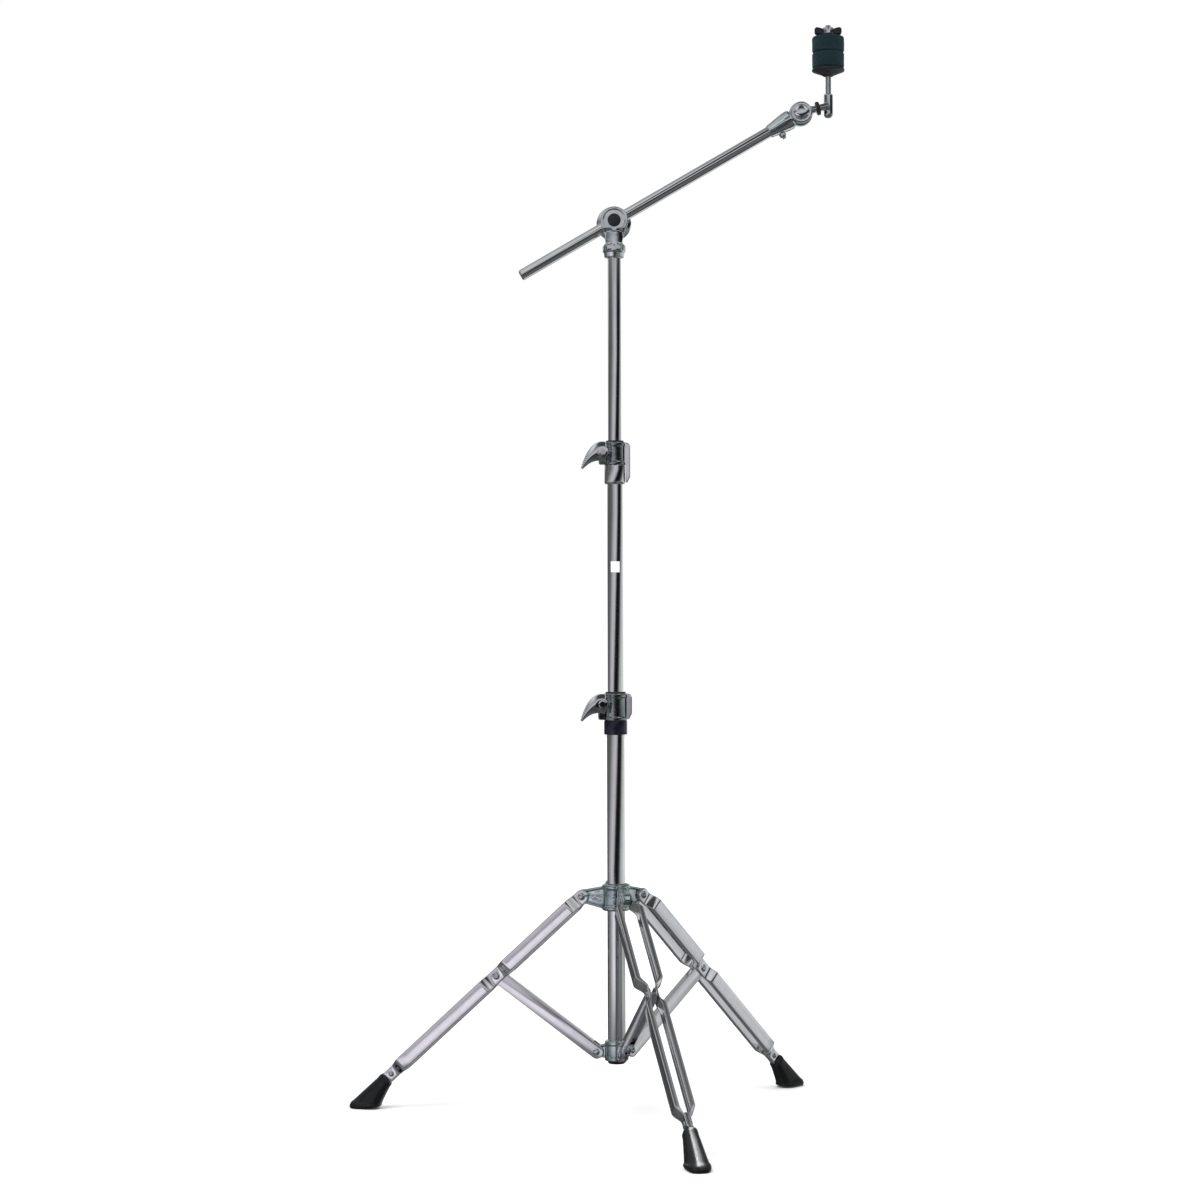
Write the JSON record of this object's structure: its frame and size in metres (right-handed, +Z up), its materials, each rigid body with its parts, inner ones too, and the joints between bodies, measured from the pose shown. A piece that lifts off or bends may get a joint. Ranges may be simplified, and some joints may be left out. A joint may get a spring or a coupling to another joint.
{
  "type": "cymbal boom stand",
  "caption": "Double-braced folding tripod with a telescopic column and a sliding, tilting boom that carries a cymbal between two felts.",
  "frame": {"origin": "middle of the footprint on the floor: the column's axis stands at x = 0.0295 m, y = 0.0494 m and the soles at z = 0", "axes": "+Z up along the column, +X the way the boom reaches, -Y towards the fin levers and the front leg"},
  "size_m": [0.7216, 0.6817, 1.5635],
  "materials": {
    "chrome": "bright chrome plate on steel",
    "dark_chrome": "chrome plate on a cast clamp, dark reflections",
    "cast_zinc": "satin plated zinc casting",
    "rubber": "moulded black rubber, slight sheen",
    "black_nylon": "moulded black nylon",
    "navy_plastic": "moulded navy black plastic",
    "felt": "dense dark teal wool felt"
  },
  "bodies": {
    "base": {"base_tube": "chrome", "tube_end_cap": "rubber", "brace_hub": "cast_zinc", "brace_hub_screw": "cast_zinc", "clamp_1_body": "dark_chrome", "clamp_1_bolt": "cast_zinc", "clamp_1_collar": "navy_plastic"},
    "leg_hub": {"leg_hub": "cast_zinc", "leg_hub_bush": "black_nylon"},
    "hub_bolt": {"leg_hub_wing_bolt": "chrome"},
    "leg_front": {"leg_front_strip_a": "chrome", "leg_front_strip_b": "chrome", "leg_front_hub_rivet": "chrome", "leg_front_foot_shank": "chrome", "leg_front_rubber_foot": "rubber"},
    "brace_front": {"brace_front": "chrome", "brace_front_rivet": "chrome"},
    "leg_right": {"leg_right_strip_a": "chrome", "leg_right_strip_b": "chrome", "leg_right_hub_rivet": "chrome", "leg_right_foot_shank": "chrome", "leg_right_rubber_foot": "rubber"},
    "brace_right": {"brace_right": "chrome", "brace_right_rivet": "chrome"},
    "leg_left": {"leg_left_strip_a": "chrome", "leg_left_strip_b": "chrome", "leg_left_hub_rivet": "chrome", "leg_left_foot_shank": "chrome", "leg_left_rubber_foot": "rubber"},
    "brace_left": {"brace_left": "chrome", "brace_left_rivet": "chrome"},
    "clamp_1_lever": {"clamp_1_fin_lever": "chrome"},
    "clamp_1_swivel": {"clamp_1_bush": "black_nylon"},
    "middle_column": {"middle_tube": "chrome", "clamp_2_body": "dark_chrome", "clamp_2_bolt": "cast_zinc", "clamp_2_collar": "chrome"},
    "clamp_2_lever": {"clamp_2_fin_lever": "chrome"},
    "clamp_2_swivel": {"clamp_2_bush": "black_nylon"},
    "upper_column": {"upper_tube": "chrome", "boom_yoke": "chrome"},
    "boom_holder": {"boom_eye_bolt": "cast_zinc", "boom_tilt_disc": "chrome", "boom_front_screw": "black_nylon"},
    "holder_nut": {"boom_wing_nut": "chrome"},
    "boom_grip": {"boom_sleeve": "black_nylon"},
    "boom": {"boom_tube": "chrome", "boom_tail_plug": "chrome", "boom_end_fitting": "chrome"},
    "tilter": {"tilter_arm": "chrome", "tilter_collar": "black_nylon", "tilter_bolt": "chrome", "cymbal_rod": "cast_zinc", "cymbal_seat_washer": "black_nylon", "cymbal_rod_sleeve": "black_nylon", "lower_felt": "felt"},
    "tilter_nut": {"tilter_wing_nut": "chrome"},
    "felt_top": {"upper_felt": "felt"},
    "cymbal_nut": {"cymbal_wing_nut": "navy_plastic"}
  },
  "joints": [
    {"name": "tripod_fold", "type": "slide", "parent": "base", "child": "leg_hub", "axis": [0, 0, 1], "range_m": [0, 0.1298]},
    {"name": "hub_bolt_turn", "type": "hinge", "parent": "leg_hub", "child": "hub_bolt", "pos_m": [0.02044, 0.08321, 0.316], "axis": [-0.2588, 0.9659, 0], "continuous": true},
    {"name": "leg_front_hinge", "type": "hinge", "parent": "leg_hub", "child": "leg_front", "pos_m": [0.04231, 0.00159, 0.316], "axis": [0.9659, 0.2588, 0], "range_deg": [0, 43.55]},
    {"name": "brace_front_hinge", "type": "hinge", "parent": "base", "child": "brace_front", "pos_m": [0.0369, 0.02177, 0.095], "axis": [-0.9659, -0.2588, 0], "range_deg": [0, 44.51]},
    {"name": "leg_right_hinge", "type": "hinge", "parent": "leg_hub", "child": "leg_right", "pos_m": [0.0645, 0.0844, 0.316], "axis": [-0.7071, 0.7071, 0], "range_deg": [0, 43.55]},
    {"name": "brace_right_hinge", "type": "hinge", "parent": "base", "child": "brace_right", "pos_m": [0.04972, 0.06962, 0.095], "axis": [0.7071, -0.7071, 0], "range_deg": [0, 44.51]},
    {"name": "leg_left_hinge", "type": "hinge", "parent": "leg_hub", "child": "leg_left", "pos_m": [-0.01831, 0.06221, 0.316], "axis": [-0.2588, -0.9659, 0], "range_deg": [0, 43.55]},
    {"name": "brace_left_hinge", "type": "hinge", "parent": "base", "child": "brace_left", "pos_m": [0.00187, 0.0568, 0.095], "axis": [0.2588, 0.9659, 0], "range_deg": [0, 44.51]},
    {"name": "clamp_1_lever_turn", "type": "hinge", "parent": "base", "child": "clamp_1_lever", "pos_m": [0.0107, 0.0314, 0.5915], "axis": [0, -1, 0], "continuous": true},
    {"name": "column_swivel", "type": "hinge", "parent": "base", "child": "clamp_1_swivel", "pos_m": [0.0295, 0.0494, 0.588], "axis": [0, 0, 1], "continuous": true},
    {"name": "middle_tube_slide", "type": "slide", "parent": "clamp_1_swivel", "child": "middle_column", "axis": [0, 0, 1], "range_m": [-0.29, 0.11]},
    {"name": "clamp_2_lever_turn", "type": "hinge", "parent": "middle_column", "child": "clamp_2_lever", "pos_m": [0.0125, 0.0314, 0.9505], "axis": [0, -1, 0], "continuous": true},
    {"name": "boom_swivel", "type": "hinge", "parent": "middle_column", "child": "clamp_2_swivel", "pos_m": [0.0295, 0.0494, 0.951], "axis": [0, 0, 1], "continuous": true},
    {"name": "upper_tube_slide", "type": "slide", "parent": "clamp_2_swivel", "child": "upper_column", "axis": [0, 0, 1], "range_m": [-0.255, 0.16]},
    {"name": "boom_tilt", "type": "hinge", "parent": "upper_column", "child": "boom_holder", "pos_m": [0.0295, 0.0494, 1.282], "axis": [0, -1, 0], "range_deg": [-80, 20]},
    {"name": "boom_nut_turn", "type": "hinge", "parent": "boom_holder", "child": "holder_nut", "pos_m": [0.0295, 0.0774, 1.282], "axis": [0, 1, 0], "continuous": true},
    {"name": "boom_roll", "type": "hinge", "parent": "boom_holder", "child": "boom_grip", "pos_m": [0.0295, 0.0494, 1.282], "axis": [0.866, 0, 0.5], "continuous": true},
    {"name": "boom_reach", "type": "slide", "parent": "boom_grip", "child": "boom", "axis": [0.866, 0, 0.5], "range_m": [-0.225, 0.12]},
    {"name": "cymbal_tilt", "type": "hinge", "parent": "boom", "child": "tilter", "pos_m": [0.29797, 0.0494, 1.437], "axis": [0, -1, 0], "range_deg": [-90, 90]},
    {"name": "tilter_nut_turn", "type": "hinge", "parent": "tilter", "child": "tilter_nut", "pos_m": [0.29797, 0.0654, 1.437], "axis": [0, 1, 0], "continuous": true},
    {"name": "cymbal_nut_lift", "type": "slide", "parent": "tilter", "child": "cymbal_nut", "axis": [0, 0, 1], "range_m": [0, 0.03]},
    {"name": "upper_felt_lift", "type": "slide", "parent": "tilter", "child": "felt_top", "axis": [0, 0, 1], "range_m": [0, 0.0241]}
  ],
  "couplings": [
    {"joint": "leg_front_hinge", "follows": "tripod_fold", "rad_per_m": 5.8491},
    {"joint": "brace_front_hinge", "follows": "tripod_fold", "rad_per_m": 5.978},
    {"joint": "leg_right_hinge", "follows": "tripod_fold", "rad_per_m": 5.8491},
    {"joint": "brace_right_hinge", "follows": "tripod_fold", "rad_per_m": 5.978},
    {"joint": "leg_left_hinge", "follows": "tripod_fold", "rad_per_m": 5.8491},
    {"joint": "brace_left_hinge", "follows": "tripod_fold", "rad_per_m": 5.978},
    {"joint": "upper_felt_lift", "follows": "cymbal_nut_lift", "ratio": 0.8}
  ]
}
